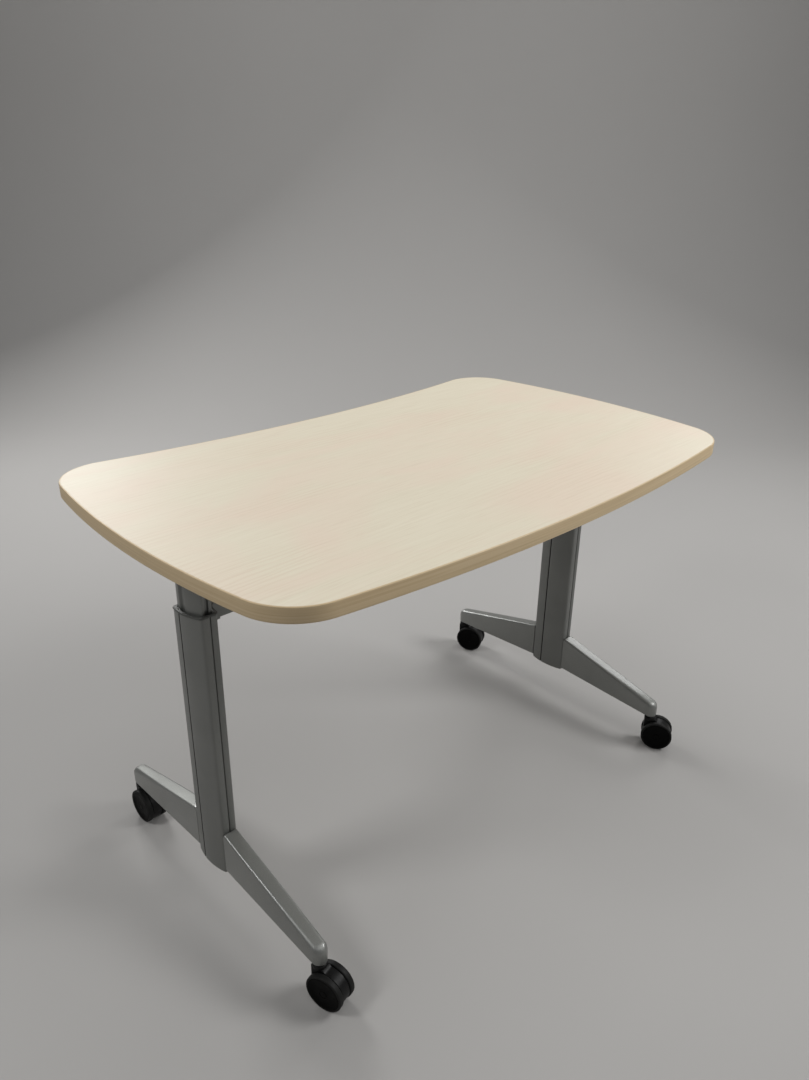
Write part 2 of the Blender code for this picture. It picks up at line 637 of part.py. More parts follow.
def make_caster(tag, x, y):
    swivel = empty("caster_" + tag + "_swivel", (x, y, 0.0), math.radians(CASTER_TURN[tag]), base)
    upright = (math.radians(90.0), 0.0, 0.0)

    name = "caster_neck_" + tag
    mesh = profile(name, [(0.0, NECK_TOP), (NECK_R, NECK_TOP), (NECK_R, NECK_FOOT), (PIN_R, NECK_FOOT),
                          (PIN_R, NECK_FOOT - PIN_LENGTH), (0.0, NECK_FOOT - PIN_LENGTH)])
    turned(piece(name, mesh, DARK_STEEL, base, (x, y, 0.0)), SEG_PIN)

    name = "caster_hood_" + tag
    hood = piece(name, extruded(name, [hood_outline()], -HOOD_HALF, HOOD_HALF), BLACK, swivel,
                 (0.0, 0.0, 0.0), upright, smooth=35.0)
    boss_mesh = round_bar("boss_" + tag, BOSS_R, BOSS_R - BOSS_ARRIS, BOSS_FOOT, HOOD_TOP, SEG_ROUND)
    boolean(hood, 'UNION', cutter("boss_" + tag, boss_mesh, swivel))
    pin_mesh = round_bar("pin_hole_" + tag, PIN_R + GAP, PIN_R + GAP, NECK_FOOT - PIN_LENGTH - GAP,
                         HOOD_TOP + BOSS_HEIGHT, SEG_PIN)
    boolean(hood, 'DIFFERENCE', cutter("pin_hole_" + tag, pin_mesh, swivel))
    hole_mesh = round_bar("axle_hole_" + tag, AXLE_R + GAP, AXLE_R + GAP, -HOOD_WIDTH, HOOD_WIDTH, SEG_PIN)
    at_axle = (TRAIL, 0.0, AXLE_HEIGHT)
    boolean(hood, 'DIFFERENCE', cutter("axle_hole_" + tag, hole_mesh, swivel, at_axle, upright))

    name = "caster_axle_" + tag
    axle_mesh = round_bar(name, AXLE_R, AXLE_R, -AXLE_HALF, AXLE_HALF, SEG_PIN)
    piece(name, axle_mesh, ZINC, swivel, at_axle, upright, smooth=40.0)
    for label, way in (("a", 1.0), ("b", -1.0)):
        name = "caster_wheel_" + tag + "_" + label
        wheel = piece(name, profile(name, wheel_profile()), BLACK, swivel,
                      (TRAIL, -way * WHEEL_IN, AXLE_HEIGHT), (way * math.radians(90.0), 0.0, 0.0))
        turned(wheel, SEG_ROUND)


make_caster("lf", LEFT_X, -CASTER_REACH)
make_caster("lr", LEFT_X, CASTER_REACH)
make_caster("rf", RIGHT_X, -CASTER_REACH)
make_caster("rr", RIGHT_X, CASTER_REACH)
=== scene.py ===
import math
import bpy
import bmesh
from mathutils import Matrix, Vector


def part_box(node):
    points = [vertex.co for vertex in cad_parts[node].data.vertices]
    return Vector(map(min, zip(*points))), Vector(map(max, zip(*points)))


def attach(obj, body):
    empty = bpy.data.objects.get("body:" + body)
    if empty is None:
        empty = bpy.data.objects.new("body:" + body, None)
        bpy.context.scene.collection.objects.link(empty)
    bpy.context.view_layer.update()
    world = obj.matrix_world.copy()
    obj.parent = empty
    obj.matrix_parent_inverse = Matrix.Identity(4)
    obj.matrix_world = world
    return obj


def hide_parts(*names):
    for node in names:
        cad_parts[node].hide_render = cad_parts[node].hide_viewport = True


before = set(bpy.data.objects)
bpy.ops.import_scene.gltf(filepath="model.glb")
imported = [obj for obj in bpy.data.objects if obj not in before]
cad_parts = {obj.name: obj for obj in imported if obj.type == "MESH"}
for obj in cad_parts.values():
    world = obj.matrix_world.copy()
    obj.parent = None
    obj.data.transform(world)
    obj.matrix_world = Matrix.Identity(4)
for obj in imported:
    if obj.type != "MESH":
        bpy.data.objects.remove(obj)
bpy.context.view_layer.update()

# Sizes shared with the CAD part, in metres

# Clearance between pieces that touch, and the extra one where a piece slides.
GAP = 0.0003
SLIDE_GAP = 0.0004

# Top: overall length, depth between the corner chords, bow of each edge, corner radii and edge band.
TOP_LENGTH = 1.200
TOP_CHORD_DEPTH = 0.7166
FRONT_BOW = 0.0459
BACK_HOLLOW = 0.0519
END_BOW = 0.0389
FRONT_CORNER_R = 0.108
BACK_CORNER_R = 0.090
BAND_THICK = 0.0025
BAND_ARRIS = 0.0018

# Legs: place under the top, section of the outer column and slope of its rim.
LEG_Y = 0.010
COL_HALF_DEPTH = 0.0455
COL_HALF_END = 0.0145
COL_BOW = 0.0077
COL_CORNER_R = 0.0045
COL_WALL = 0.0035
RIM_SLOPE = math.tan(math.radians(9.0))

# Collar on the rim, and the inner column that slides in its sleeve.
LIP_PROUD = 0.0011
LIP_HEIGHT = 0.0036
SLEEVE_DROP = 0.034
SLEEVE_WALL = 0.0012
INNER_WALL = 0.0014
FLUTE_DEPTH = 0.0036

# Feet: reach from the column's centre, half width, depths, rise of the underside and rounding.
ARM_REACH = 0.316
ARM_HALF_WIDTH = 0.0143
ARM_ROOT_DEPTH = 0.086
ARM_TIP_DEPTH = 0.036
ARM_UNDER_RISE = 0.013
ARM_NOSE_DROP = 0.0120
ARM_TOP_R = 0.0040
ARM_NOSE_R = 0.0095
ARM_UNDER_R = 0.0020
ARM_ROOT_R = 0.0040

# Mounting plates and the stretcher.
PLATE_CORNER_R = 0.012
BEAM_CORNER_R = 0.004
BEAM_WALL = 0.002

# Casters: place on the foot, sizes, and the way each one points in degrees from +X.
CASTER_REACH = 0.303
TRAIL = 0.020
WHEEL_R = 0.036
WHEEL_WIDTH = 0.0110
WHEEL_EDGE_R = 0.0024
WHEEL_IN = 0.0103
HOOD_HALF = 0.0097
HOOD_R = 0.0335
HOOD_FLOOR = 0.0070
BOSS_R = 0.0128
BOSS_HEIGHT = 0.008
PIN_R = 0.0045
NECK_R = 0.0105
CASTER_TURN = {"lf": 285.0, "rf": 300.0, "lr": 272.0, "rr": 296.0}

# Places taken from the frame.
LEG_X = {side: sum(v.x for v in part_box("outer_column_" + side)) / 2.0 for side in ("left", "right")}
TOP_UNDER, TOP_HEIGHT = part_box("edge_band")[0].z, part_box("edge_band")[1].z
COL_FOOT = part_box("outer_column_left")[0].z
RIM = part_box("outer_column_left")[1].z - RIM_SLOPE * COL_HALF_DEPTH
INNER_LOW, INNER_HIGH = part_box("inner_column_left")[0].z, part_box("inner_column_left")[1].z
ARM_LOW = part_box("foot_front_left")[0].z
AXLE_Z = (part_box("caster_axle_lf")[0].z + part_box("caster_axle_lf")[1].z) / 2.0
HOOD_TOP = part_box("caster_hood_lf")[1].z
BOSS_FOOT = HOOD_TOP - BOSS_HEIGHT


# Shader helpers

def node(tree, kind, sockets=None, **settings):
    # A shader node with constants on its sockets and with settings of its own.
    made = tree.nodes.new(kind)
    for name, value in settings.items():
        setattr(made, name, value)
    for name, value in (sockets or {}).items():
        made.inputs[name].default_value = value
    return made


def coords(tree, stretch, shift=(0.0, 0.0, 0.0)):
    # Object coordinates scaled along each axis, then shifted.
    here = node(tree, "ShaderNodeTexCoord")
    mapping = node(tree, "ShaderNodeMapping", {"Scale": stretch, "Location": shift})
    tree.links.new(here.outputs["Object"], mapping.inputs["Vector"])
    return mapping.outputs["Vector"]


def noise(tree, scale, detail, rough=0.5, distortion=0.0, stretch=(1.0, 1.0, 1.0), shift=(0.0, 0.0, 0.0)):
    values = {"Scale": scale, "Detail": detail, "Roughness": rough, "Distortion": distortion}
    made = node(tree, "ShaderNodeTexNoise", values)
    tree.links.new(coords(tree, stretch, shift), made.inputs["Vector"])
    return made.outputs["Fac"]


def ramp(tree, value, stops):
    made = node(tree, "ShaderNodeValToRGB")
    elements = made.color_ramp.elements
    while len(elements) < len(stops):
        elements.new(0.5)
    for element, (place, color) in zip(elements, stops):
        element.position = place
        element.color = (*color, 1.0)
    tree.links.new(value, made.inputs["Fac"])
    return made.outputs["Color"]


# Places of the colour sockets on a Mix node, which share their names with other sockets.
MIX_FACTOR, MIX_FIRST, MIX_SECOND, MIX_RESULT = 0, 6, 7, 2


def blend(tree, factor, first, second):
    # The first colour where the factor is 0 and the second where it is 1; the second may be a constant.
    made = node(tree, "ShaderNodeMix", data_type="RGBA")
    tree.links.new(factor, made.inputs[MIX_FACTOR])
    tree.links.new(first, made.inputs[MIX_FIRST])
    if isinstance(second, tuple):
        made.inputs[MIX_SECOND].default_value = (*second, 1.0)
    else:
        tree.links.new(second, made.inputs[MIX_SECOND])
    return made.outputs[MIX_RESULT]


def spread(tree, value, low, high, start=0.0, stop=1.0):
    # Runs from low to high while the value runs from start to stop.
    limits = {"From Min": start, "From Max": stop, "To Min": low, "To Max": high}
    made = node(tree, "ShaderNodeMapRange", limits)
    tree.links.new(value, made.inputs["Value"])
    return made.outputs["Result"]


def shade(color, factor):
    return tuple(c * factor for c in color)


def new_material(name):
    mat = bpy.data.materials.new(name)
    mat.use_nodes = True
    return mat, mat.node_tree


def dressed(mat, color, rough, relief, depth, constants=None):
    # Links colour, roughness and a bump of the given depth in metres, and sets the constant sockets.
    tree = mat.node_tree
    bsdf = tree.nodes["Principled BSDF"]
    bump = node(tree, "ShaderNodeBump", {"Strength": 1.0, "Distance": depth})
    tree.links.new(color, bsdf.inputs["Base Color"])
    tree.links.new(rough, bsdf.inputs["Roughness"])
    tree.links.new(relief, bump.inputs["Height"])
    tree.links.new(bump.outputs["Normal"], bsdf.inputs["Normal"])
    for name, value in (constants or {}).items():
        bsdf.inputs[name].default_value = value
    return mat


# Materials

# Places the warm patches of the laminate mostly in the middle of the top.
PATCH_SHIFT = (4.4, 2.9, 0.0)


def maple_laminate():
    # Pale maple print: streaks along the desk, warm patches, groups of growth lines, and pores.
    mat, t = new_material("maple_laminate")
    pale = [(0.25, (0.722, 0.656, 0.512)), (0.50, (0.754, 0.691, 0.548)), (0.78, (0.780, 0.720, 0.580))]
    warm, line, pore = (0.775, 0.650, 0.528), (0.690, 0.570, 0.430), (0.60, 0.48, 0.35)
    streaks = noise(t, 2.4, 7.0, rough=0.62, distortion=0.35, stretch=(2.8, 75.0, 1.0))
    fine = noise(t, 1.0, 4.0, rough=0.6, stretch=(14.0, 420.0, 1.0))
    patches = noise(t, 1.3, 3.0, distortion=0.8, stretch=(2.1, 4.4, 1.0), shift=PATCH_SHIFT)
    groups = noise(t, 1.6, 2.0, distortion=0.4, stretch=(1.7, 5.0, 1.0))
    relief = noise(t, 1.0, 2.0, stretch=(60.0, 900.0, 60.0))
    lines = {"Scale": 11.0, "Distortion": 9.0, "Detail": 3.0, "Detail Scale": 0.8}
    wave = node(t, "ShaderNodeTexWave", lines, wave_type="BANDS", bands_direction="Y")
    t.links.new(coords(t, (0.45, 2.6, 1.0)), wave.inputs["Vector"])
    patched = blend(t, spread(t, patches, 0.0, 0.80, 0.42, 0.66), ramp(t, streaks, pale), warm)
    lined = blend(t, spread(t, wave.outputs["Fac"], 0.0, 0.36, 0.55, 1.0), patched, line)
    grouped = blend(t, spread(t, groups, 0.0, 1.0, 0.46, 0.66), patched, lined)
    color = blend(t, spread(t, fine, 0.26, 0.0, 0.30, 0.46), grouped, pore)
    rough = spread(t, fine, 0.44, 0.54, 0.2, 0.8)
    return dressed(mat, color, rough, relief, depth=0.00004, constants={"Specular IOR Level": 0.22})


def edge_tan():
    # Wood-look plastic with fine lines along the edge.
    mat, t = new_material("edge_plastic")
    tans = [(0.28, (0.540, 0.400, 0.225)), (0.50, (0.650, 0.500, 0.300)), (0.74, (0.720, 0.575, 0.375))]
    lines = noise(t, 1.0, 6.0, rough=0.62, distortion=0.2, stretch=(3.0, 3.0, 330.0))
    patches = noise(t, 1.0, 3.0, stretch=(5.0, 5.0, 22.0))
    color = blend(t, spread(t, patches, 0.0, 0.35, 0.42, 0.70), ramp(t, lines, tans), (0.670, 0.505, 0.300))
    return dressed(mat, color, spread(t, lines, 0.42, 0.54, 0.3, 0.7), lines, depth=0.00006)


SILVER_TINT = (0.98, 1.0, 0.95)


def silver(name, drawn, level, coat, coat_rough):
    # Metallic paint: fine flake, clouds, faint lines along the drawn way and rubbed spots.
    mat, t = new_material(name)
    tint = shade(SILVER_TINT, level)
    flake = noise(t, 2600.0, 2.0, rough=0.6)
    cloud = noise(t, 9.0, 4.0, rough=0.55)
    lines = noise(t, 1.0, 4.0, rough=0.6, stretch=drawn)
    rub = noise(t, 55.0, 6.0, rough=0.72)
    base = ramp(t, flake, [(0.30, shade(tint, 0.83)), (0.52, tint), (0.74, shade(tint, 1.22))])
    clouded = blend(t, spread(t, cloud, 0.0, 0.30, 0.45, 0.75), base, shade(tint, 0.85))
    lined = blend(t, spread(t, lines, 0.0, 0.14, 0.5, 0.8), clouded, shade(tint, 1.26))
    color = blend(t, spread(t, rub, 0.0, 0.35, 0.70, 0.80), lined, shade(tint, 1.40))
    constants = {"Metallic": 0.70, "Coat Weight": coat, "Coat Roughness": coat_rough}
    rough = spread(t, cloud, 0.44, 0.54, 0.3, 0.7)
    return dressed(mat, color, rough, flake, depth=0.00003, constants=constants)


def plastic(name, color, dusty, rough, grain, depth, gloss=0.20):
    # Moulded plastic with a fine grain and a little dust.
    mat, t = new_material(name)
    fine = noise(t, grain, 3.0, rough=0.55)
    dust = noise(t, 70.0, 6.0, rough=0.70)
    base = ramp(t, fine, [(0.30, shade(color, 0.8)), (0.70, shade(color, 1.25))])
    dusted = blend(t, spread(t, dust, 0.0, 0.6, 0.56, 0.78), base, dusty)
    worn = spread(t, dust, rough - 0.06, rough + 0.10, 0.35, 0.7)
    return dressed(mat, dusted, worn, fine, depth, constants={"Specular IOR Level": gloss})


def steel(name, color, metallic, rough):
    mat, t = new_material(name)
    fine = noise(t, 900.0, 3.0, rough=0.6)
    cloud = noise(t, 40.0, 4.0, rough=0.6)
    base = ramp(t, fine, [(0.3, shade(color, 0.82)), (0.7, shade(color, 1.15))])
    clouded = blend(t, spread(t, cloud, 0.0, 0.3, 0.5, 0.8), base, shade(color, 0.7))
    worn = spread(t, cloud, rough - 0.05, rough + 0.10, 0.3, 0.7)
    return dressed(mat, clouded, worn, fine, depth=0.00004, constants={"Metallic": metallic})


def chipboard():
    mat, t = new_material("chipboard")
    chips = node(t, "ShaderNodeTexVoronoi", {"Scale": 1.0})
    t.links.new(coords(t, (420.0, 420.0, 900.0)), chips.inputs["Vector"])
    distance = chips.outputs["Distance"]
    color = ramp(t, distance, [(0.0, (0.30, 0.21, 0.12)), (0.6, (0.56, 0.44, 0.29))])
    return dressed(mat, color, spread(t, distance, 0.9, 0.7), distance, depth=0.0003)


def backer():
    # Matte backing paper with a fibre along the desk.
    mat, t = new_material("backer_paper")
    fibre = noise(t, 1.0, 5.0, rough=0.6, stretch=(160.0, 420.0, 160.0))
    cloud = noise(t, 6.0, 4.0, rough=0.6)
    base = ramp(t, fibre, [(0.3, (0.40, 0.37, 0.32)), (0.7, (0.47, 0.44, 0.39))])
    color = blend(t, spread(t, cloud, 0.0, 0.3, 0.45, 0.75), base, (0.38, 0.355, 0.31))
    return dressed(mat, color, spread(t, fibre, 0.50, 0.65, 0.3, 0.7), fibre, depth=0.00005)


MAPLE = maple_laminate()
EDGE = edge_tan()
COLUMN_PAINT = silver("column_paint", drawn=(900.0, 900.0, 2.0), level=0.230, coat=0.20, coat_rough=0.18)
# The feet take a lighter copy of the column paint: partly a lighter cast finish, partly painted light
# standing in for the light on the foot tops.
FOOT_PAINT_LIGHTENED = silver("foot_paint_lightened", drawn=(500.0, 6.0, 500.0), level=0.285, coat=0.65, coat_rough=0.10)
BEAM_PAINT = silver("beam_paint", drawn=(3.0, 700.0, 700.0), level=0.230, coat=0.20, coat_rough=0.18)
# Nearly black copy of the column paint for the grooves: painted shade in the recess.
GROOVE_SHADE_PAINT = silver("groove_shade_paint", drawn=(900.0, 900.0, 2.0), level=0.040, coat=0.0, coat_rough=0.30)
# The collar takes a darker copy of the column paint without a coat: painted shade that dims the light on the
# rim.
RIM_PAINT_SHADED = silver("rim_paint_shaded", drawn=(30.0, 30.0, 900.0), level=0.150, coat=0.0, coat_rough=0.30)
BLACK = plastic("caster_plastic", color=(0.007, 0.007, 0.007), dusty=(0.016, 0.0155, 0.015),
                rough=0.42, grain=1500.0, depth=0.00004)
# Darker, less glossy copy of the caster plastic for the wheel faces: painted shade on faces that turn away
# from the light.
SHADED_DISC = plastic("caster_disc_shaded", color=(0.0022, 0.0022, 0.0021), dusty=(0.005, 0.0048, 0.0045),
               rough=0.50, grain=1500.0, depth=0.00004, gloss=0.06)
# Lighter copy for the tyres, which are their own moulding: the lighter tone is painted light on treads lit
# from above.
LIT_TREAD = plastic("caster_tread_lit", color=(0.011, 0.011, 0.0105), dusty=(0.030, 0.0285, 0.026),
                rough=0.55, grain=1100.0, depth=0.00006)
NYLON = plastic("black_nylon", color=(0.020, 0.020, 0.020), dusty=(0.05, 0.05, 0.05),
                rough=0.55, grain=900.0, depth=0.00005)
DARK = steel("dark_steel", color=(0.055, 0.056, 0.058), metallic=0.2, rough=0.50)
ZINC = steel("zinc_steel", color=(0.50, 0.50, 0.49), metallic=0.9, rough=0.36)
CORE = chipboard()
BACKER = backer()


# Mesh helpers

def piece(name, bm, mat, body, nodes, sharp=32.0):
    # An object with one material, smooth except over edges sharper than the given angle in degrees.
    bmesh.ops.recalc_face_normals(bm, faces=bm.faces[:])
    mesh = bpy.data.meshes.new(name)
    bm.to_mesh(mesh)
    bm.free()
    mesh.shade_smooth()
    mesh.set_sharp_from_angle(angle=math.radians(sharp))
    mesh.materials.append(mat)
    ob = bpy.data.objects.new(name, mesh)
    bpy.context.scene.collection.objects.link(ob)
    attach(ob, body)
    if nodes:
        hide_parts(*nodes)
    return ob


def skin(loops, ring=False):
    # Faces between loops of equal count; a ring joins the last loop to the first, else the ends are capped.
    bm = bmesh.new()
    rows = [[bm.verts.new(p) for p in loop] for loop in loops]
    count = len(rows[0])
    pairs = list(zip(rows[:-1], rows[1:]))
    if ring:
        pairs.append((rows[-1], rows[0]))
    for a, b in pairs:
        for i in range(count):
            j = (i + 1) % count
            bm.faces.new((a[i], a[j], b[j], b[i]))
    if not ring:
        bm.faces.new(rows[0])
        bm.faces.new(rows[-1])
    return bm


# Radius under which a point of a turned profile lies on the axis.
ON_AXIS = 1e-7


def turned(profile, steps, place):
    # Spins (radius, height) points about Z and puts the result through the place matrix.
    bm = bmesh.new()
    rows = []
    for r, z in profile:
        if r < ON_AXIS:
            rows.append([bm.verts.new(place @ Vector((0.0, 0.0, z)))])
        else:
            ring = [math.tau * i / steps for i in range(steps)]
            rows.append([bm.verts.new(place @ Vector((r * math.cos(a), r * math.sin(a), z))) for a in ring])
    for a, b in zip(rows[:-1], rows[1:]):
        for i in range(steps):
            j = (i + 1) % steps
            corners = [a[i % len(a)], a[j % len(a)], b[j % len(b)], b[i % len(b)]]
            bm.faces.new([c for k, c in enumerate(corners) if c not in corners[:k]])
    # A profile that starts off the axis is closed from its last point to its first.
    if len(rows[0]) > 1:
        for i in range(steps):
            j = (i + 1) % steps
            bm.faces.new((rows[-1][i], rows[-1][j], rows[0][j], rows[0][i]))
    return bm


def sin_cos(degrees):
    return math.sin(math.radians(degrees)), math.cos(math.radians(degrees))


# Angles of the points on a quarter round.
QUARTER = range(0, 91, 15)


# The top

# Broken edges of the band beside the laminate and of the laminate itself, and sampling of the outline.
BAND_BREAK = 0.0002
LAMINATE_BREAK = 0.00015
TOP_CORNER_STEPS = 28
TOP_END_STEPS = 30
TOP_LONG_STEPS = 60


def arc_radius(half, bow):
    # Radius of the arc that rises by the bow over half its chord.
    return (half * half + bow * bow) / (2.0 * bow)


HALF_CHORD = TOP_LENGTH / 2.0 - END_BOW
R_FRONT, R_BACK = arc_radius(HALF_CHORD, FRONT_BOW), arc_radius(HALF_CHORD, BACK_HOLLOW)
R_END = arc_radius(TOP_CHORD_DEPTH / 2.0, END_BOW)
C_FRONT = Vector((0.0, R_FRONT - FRONT_BOW - TOP_CHORD_DEPTH / 2.0))
C_BACK = Vector((0.0, R_BACK - BACK_HOLLOW + TOP_CHORD_DEPTH / 2.0))
C_END = Vector((TOP_LENGTH / 2.0 - R_END, 0.0))


def meet(centre, radius, other, other_radius, back):
    # The point on the right, at the back or the front, where two circles cross.
    span = other - centre
    along = (radius ** 2 - other_radius ** 2 + span.length_squared) / (2.0 * span.length)
    across = math.sqrt(radius ** 2 - along ** 2)
    unit = span.normalized()
    found = [centre + unit * along + Vector((-unit.y, unit.x)) * (across * way) for way in (1.0, -1.0)]
    return [p for p in found if p.x > 0.0 and (p.y > 0.0) == back][0]


def arc(centre, start, stop, count):
    # Points of the shorter arc from start up to, but without, stop.
    a0 = math.atan2(start.y - centre.y, start.x - centre.x)
    a1 = math.atan2(stop.y - centre.y, stop.x - centre.x)
    turn = (a1 - a0 + math.pi) % math.tau - math.pi
    radius = (start - centre).length
    steps = [a0 + turn * i / count for i in range(count)]
    return [centre + Vector((math.cos(a), math.sin(a))) * radius for a in steps]


def top_outline(inset):
    # Four bowed edges joined by fillets, moved inwards by the inset.
    front_r, back_r = FRONT_CORNER_R - inset, BACK_CORNER_R - inset
    front, back, end = R_FRONT - inset, R_BACK + inset, R_END - inset
    near = meet(C_FRONT, front - front_r, C_END, end - front_r, False)
    far = meet(C_BACK, back + back_r, C_END, end - back_r, True)
    a = C_FRONT + (near - C_FRONT).normalized() * front
    b = C_END + (near - C_END).normalized() * end
    c = C_END + (far - C_END).normalized() * end
    d = C_BACK + (far - C_BACK).normalized() * back
    right = arc(near, a, b, TOP_CORNER_STEPS) + arc(C_END, b, c, TOP_END_STEPS)
    right += arc(far, c, d, TOP_CORNER_STEPS) + [d]
    left = [Vector((-p.x, p.y)) for p in reversed(right)]
    back_edge = arc(C_BACK, d, left[0], TOP_LONG_STEPS)[1:]
    front_edge = arc(C_FRONT, left[-1], right[0], TOP_LONG_STEPS)[1:]
    return right + back_edge + left + front_edge


EDGE_Y = [p.y for p in top_outline(0.0)]
SHIFT_Y = -(min(EDGE_Y) + max(EDGE_Y)) / 2.0


def top_loop(inset, z):
    return [Vector((p.x, p.y + SHIFT_Y, z)) for p in top_outline(inset)]


def make_edge_band():
    rows = [(BAND_THICK, TOP_HEIGHT - BAND_BREAK), (BAND_THICK - BAND_BREAK, TOP_HEIGHT)]
    for degrees in QUARTER:
        s, c = sin_cos(degrees)
        rows.append((BAND_ARRIS * (1.0 - s), TOP_HEIGHT - BAND_ARRIS * (1.0 - c)))
    rows += [(inset, TOP_UNDER + TOP_HEIGHT - z) for inset, z in reversed(rows)]
    band = skin([top_loop(inset, z) for inset, z in rows], ring=True)
    piece("edge_band_moulded", band, EDGE, "top", ["edge_band"], sharp=30.0)


def make_laminate():
    low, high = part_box("top_laminate")[0].z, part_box("top_laminate")[1].z
    inset = BAND_THICK + GAP / 2.0
    rows = [(inset, low), (inset, high - LAMINATE_BREAK), (inset + LAMINATE_BREAK, high)]
    sheet = skin([top_loop(place, z) for place, z in rows])
    piece("top_laminate_face", sheet, MAPLE, "top", ["top_laminate"], sharp=30.0)


make_edge_band()
make_laminate()


# The legs

# Insets of the sleeve's two faces and of the inner column's face and bore from the outer column's face.
SLEEVE_OUT = COL_WALL + GAP
SLEEVE_IN = SLEEVE_OUT + SLEEVE_WALL
INNER_OUT = SLEEVE_IN + SLIDE_GAP
INNER_BORE = INNER_OUT + FLUTE_DEPTH + INNER_WALL

# Broken edges of the outer column and the lip; rounding of the lip's upper edge, and its middle point.
COL_BREAK = 0.0007
LIP_BREAK = 0.0005
LIP_ROUND = 0.0013
LIP_ROUND_MID = 0.0004

# Sampling of a column's wide face before and behind its notch, and of its corners; smallest corner.
FACE_STEPS_BEFORE = 10
FACE_STEPS_BEHIND = 16
COL_CORNER_STEPS = 6
COL_CORNER_LEAST = 0.0010


def notch(centre, width, depth, soft):
    # (Place, depth) points of a groove with softened edges and a floor three quarters as wide as its mouth.
    half = width / 2.0
    floor = half * 0.75
    flank = [(half + soft, 0.0), (half, soft * 0.45), (floor + soft * 0.2, depth - soft * 0.6),
             (floor - soft * 0.4, depth)]
    return [(centre - out, d) for out, d in flank] + [(centre + out, d) for out, d in reversed(flank)]


# A notch in each wide face and one in each end of the outer and of the inner column.
GROOVES = (notch(centre=-0.0140, width=0.0030, depth=0.0024, soft=0.0004),
           notch(centre=0.0010, width=0.0026, depth=0.0021, soft=0.0004))
FLUTES = (notch(centre=-0.0110, width=0.0190, depth=FLUTE_DEPTH, soft=0.0009),
          notch(centre=-0.0010, width=0.0075, depth=FLUTE_DEPTH, soft=0.0007))


def bow_at(y, half_depth, half_end):
    # Half width of a column's section at y.
    return half_end + COL_BOW * (1.0 - (y / half_depth) ** 2)


def rounded(start, corner, stop, count):
    # Points of a curve from start to stop that rounds off the corner.
    steps = [i / count for i in range(count + 1)]
    return [start * (1.0 - s) ** 2 + corner * (2.0 * s * (1.0 - s)) + stop * s ** 2 for s in steps]


def column_section(inset, notches, cut=1.0):
    # A section that is alike after half a turn; cut scales the depth of its notches, down to nothing.
    face_notch, end_notch = notches
    half_depth, half_end = COL_HALF_DEPTH - inset, COL_HALF_END - inset
    reach = max(COL_CORNER_R - inset * 0.5, COL_CORNER_LEAST)
    limit = half_depth - reach
    first, last = face_notch[0][0], face_notch[-1][0]
    face = [(-limit + (first + limit) * i / FACE_STEPS_BEFORE, 0.0) for i in range(FACE_STEPS_BEFORE)]
    face += [(y, d * cut) for y, d in face_notch]
    face += [(last + (limit - last) * i / FACE_STEPS_BEHIND, 0.0) for i in range(1, FACE_STEPS_BEHIND + 1)]
    half = [Vector((bow_at(y, half_depth, half_end) - d, y)) for y, d in face]
    corner, end = Vector((half_end, half_depth)), Vector((half_end - reach, half_depth))
    half += rounded(half[-1], corner, end, COL_CORNER_STEPS)[1:]
    # Without notches the points of the end draw together, to fit into its smaller width.
    narrow = half_end / COL_HALF_END if cut == 0.0 else 1.0
    half += [Vector((-x * narrow, half_depth - d * cut)) for x, d in end_notch]
    corner, end = Vector((-half_end, half_depth)), Vector((reach - half_end, half_depth))
    far = Vector((-bow_at(limit, half_depth, half_end), limit))
    half += rounded(end, corner, far, COL_CORNER_STEPS)[:-1]
    return half + [-p for p in half]


def leg_loop(x, section, level, slope=0.0):
    return [Vector((x + p.x, LEG_Y + p.y, level - slope * p.y)) for p in section]


def make_outer_column(side, x):
    outer, shrunk = column_section(0.0, GROOVES), column_section(COL_BREAK, GROOVES)
    bore = column_section(COL_WALL, GROOVES, 0.0)
    bm = skin([leg_loop(x, shrunk, COL_FOOT), leg_loop(x, outer, COL_FOOT + COL_BREAK),
               leg_loop(x, outer, RIM - COL_BREAK, RIM_SLOPE), leg_loop(x, shrunk, RIM, RIM_SLOPE),
               leg_loop(x, bore, RIM, RIM_SLOPE), leg_loop(x, bore, COL_FOOT)], ring=True)
    # The walls and floor of the groove in each wide face take a nearly black paint, painted shade in the
    # groove; the second row of faces is the long one.
    bm.faces.ensure_lookup_table()
    count = len(outer)
    for start in (count, count + count // 2):
        for i in range(FACE_STEPS_BEFORE + 1, FACE_STEPS_BEFORE + len(GROOVES[0]) - 2):
            bm.faces[start + i].material_index = 1
    name = "outer_column_" + side
    column = piece(name + "_extrusion", bm, COLUMN_PAINT, "base", [name])
    column.data.materials.append(GROOVE_SHADE_PAINT)


def make_collar(side, x):
    foot, under, upper = RIM - SLEEVE_DROP, RIM + GAP, RIM + GAP + LIP_HEIGHT
    lip = [(SLEEVE_OUT, under), (LIP_BREAK - LIP_PROUD, under), (-LIP_PROUD, under + LIP_BREAK),
           (-LIP_PROUD, upper - LIP_ROUND), (LIP_ROUND_MID - LIP_PROUD, upper - LIP_ROUND_MID),
           (LIP_ROUND - LIP_PROUD, upper), (SLEEVE_IN - LIP_BREAK, upper), (SLEEVE_IN, upper - LIP_BREAK)]
    profile = [(inset, z, RIM_SLOPE) for inset, z in lip]
    profile = [(SLEEVE_OUT, foot, 0.0)] + profile + [(SLEEVE_IN, foot, 0.0)]
    loops = [leg_loop(x, column_section(inset, GROOVES, 0.0), z, slope) for inset, z, slope in profile]
    name = "collar_" + side
    piece(name + "_rim", skin(loops, ring=True), RIM_PAINT_SHADED, "base", [name])


